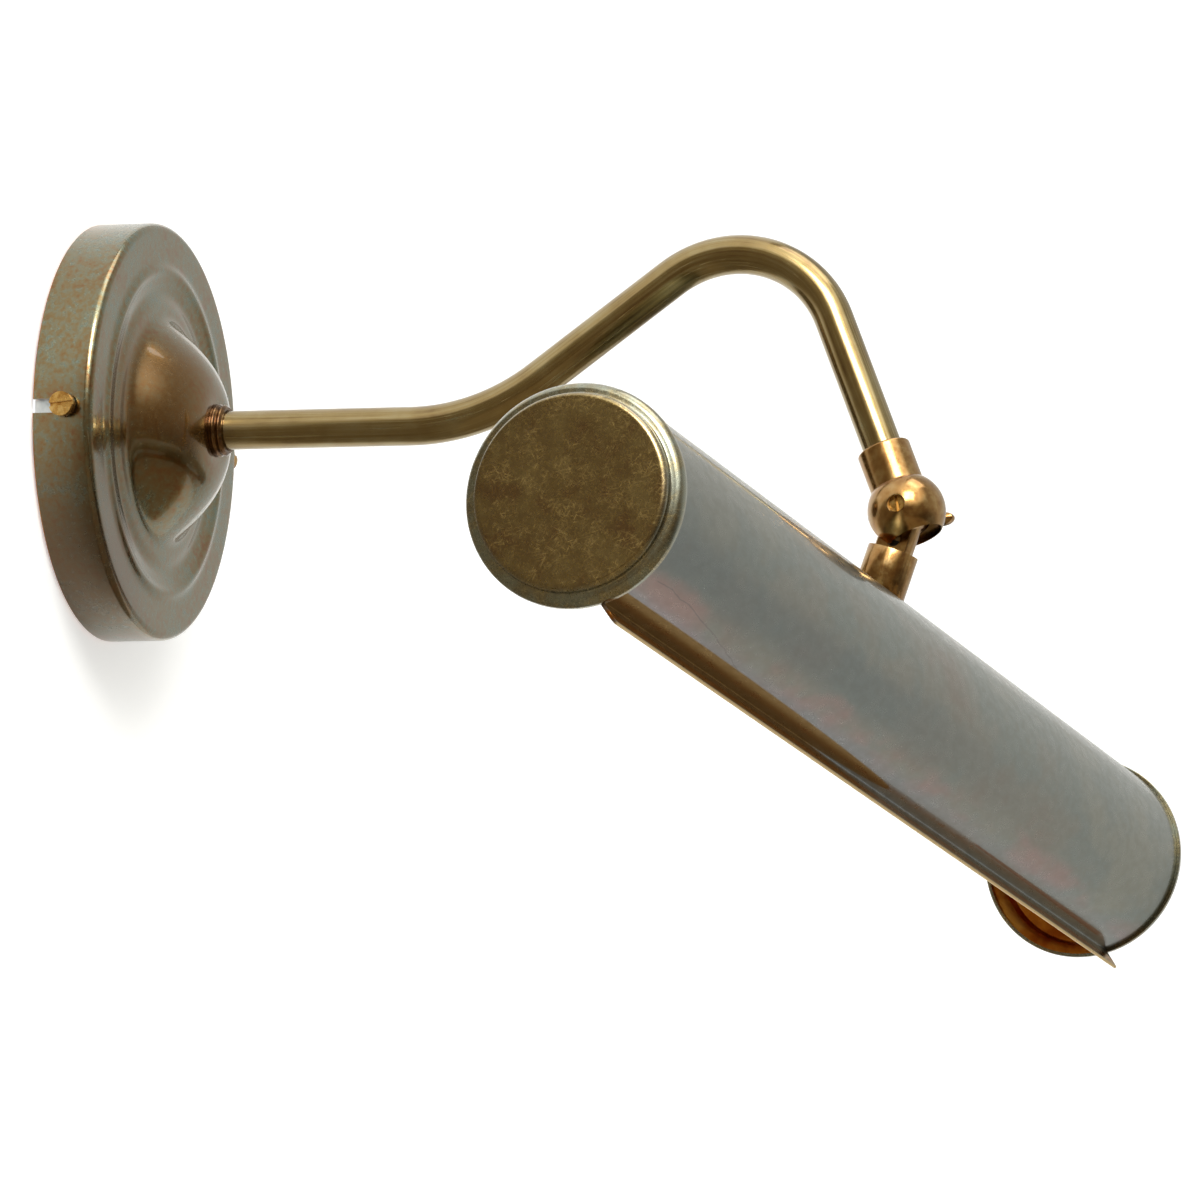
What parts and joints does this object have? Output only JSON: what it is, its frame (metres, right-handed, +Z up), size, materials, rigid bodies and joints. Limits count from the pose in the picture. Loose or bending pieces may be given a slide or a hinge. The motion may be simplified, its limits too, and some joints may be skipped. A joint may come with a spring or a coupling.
{
  "type": "picture light",
  "caption": "Wall-mounted picture light: round spun rose, swan-neck arm, slotted ball knuckle with a wing nut, and a long trough shade with tubular lamps.",
  "frame": {"origin": "centre of the rose on the wall plane", "axes": "+Y into the wall, +Z up, +X along the shade, to the right as seen from the room"},
  "size_m": [0.422, 0.2182, 0.1468],
  "materials": {
    "rose_patina": "lacquered antique brass, grey-olive with warm mottling",
    "arm_brass": "drawn antique brass tube with lengthwise streaks",
    "knuckle_bronze": "turned and polished reddish antique brass",
    "shade_patina": "lacquered antique brass with a blue-grey bloom",
    "cap_patina": "dark antique brass with fine golden scratches",
    "bright_brass": "bright turned brass",
    "zinc_steel": "zinc-plated pressed steel",
    "white_plastic": "moulded white nylon",
    "phenolic": "moulded dark phenolic",
    "flex": "black round flex",
    "lamp_glass": "frosted tubular lamp glass",
    "filament": "glass stem and bright support wires, one slot for the lamp's inner pieces"
  },
  "bodies": {
    "root": {"wall_bracket": "zinc_steel", "earth_screw": "bright_brass", "terminal_block": "white_plastic", "terminal_screws": "zinc_steel", "rose_cover": "rose_patina", "rose_screws": "bright_brass", "arm_collar": "knuckle_bronze", "arm_washer": "bright_brass", "arm_locknut": "bright_brass", "arm_tube": "arm_brass", "tube_bush": "white_plastic", "arm_flex": "flex", "knuckle_socket": "knuckle_bronze", "pivot_screw": "bright_brass", "friction_bushes": "white_plastic"},
    "wing_nut": {"wing_nut": "knuckle_bronze"},
    "shade": {"swivel_stem": "knuckle_bronze", "stem_washer": "bright_brass", "stem_nut": "bright_brass", "shade_trough": "shade_patina", "end_cap_left": "cap_patina", "end_cap_right": "cap_patina", "lamp_bracket": "zinc_steel", "lampholder_left": "phenolic", "lampholder_right": "phenolic", "thread_shell_left": "bright_brass", "thread_shell_right": "bright_brass", "holder_contacts": "bright_brass", "holder_screws": "zinc_steel", "shade_flex": "flex"},
    "lamp_left": {"lamp_cap_left": "bright_brass", "lamp_glass_left": "lamp_glass", "lamp_filament_left": "filament"},
    "lamp_right": {"lamp_cap_right": "bright_brass", "lamp_glass_right": "lamp_glass", "lamp_filament_right": "filament"}
  },
  "joints": [
    {"name": "shade_tilt", "type": "hinge", "parent": "root", "child": "shade", "pos_m": [0, -0.20528, -0.02379], "axis": [1, 0, 0], "range_deg": [-52, 26]},
    {"name": "wing_nut_turn", "type": "hinge", "parent": "root", "child": "wing_nut", "pos_m": [0, -0.20528, -0.02379], "axis": [1, 0, 0], "continuous": true},
    {"name": "lamp_left_turn", "type": "hinge", "parent": "shade", "child": "lamp_left", "pos_m": [0, -0.1925, -0.06694], "axis": [1, 0, 0], "continuous": true},
    {"name": "lamp_right_turn", "type": "hinge", "parent": "shade", "child": "lamp_right", "pos_m": [0, -0.1925, -0.06694], "axis": [1, 0, 0], "continuous": true}
  ]
}
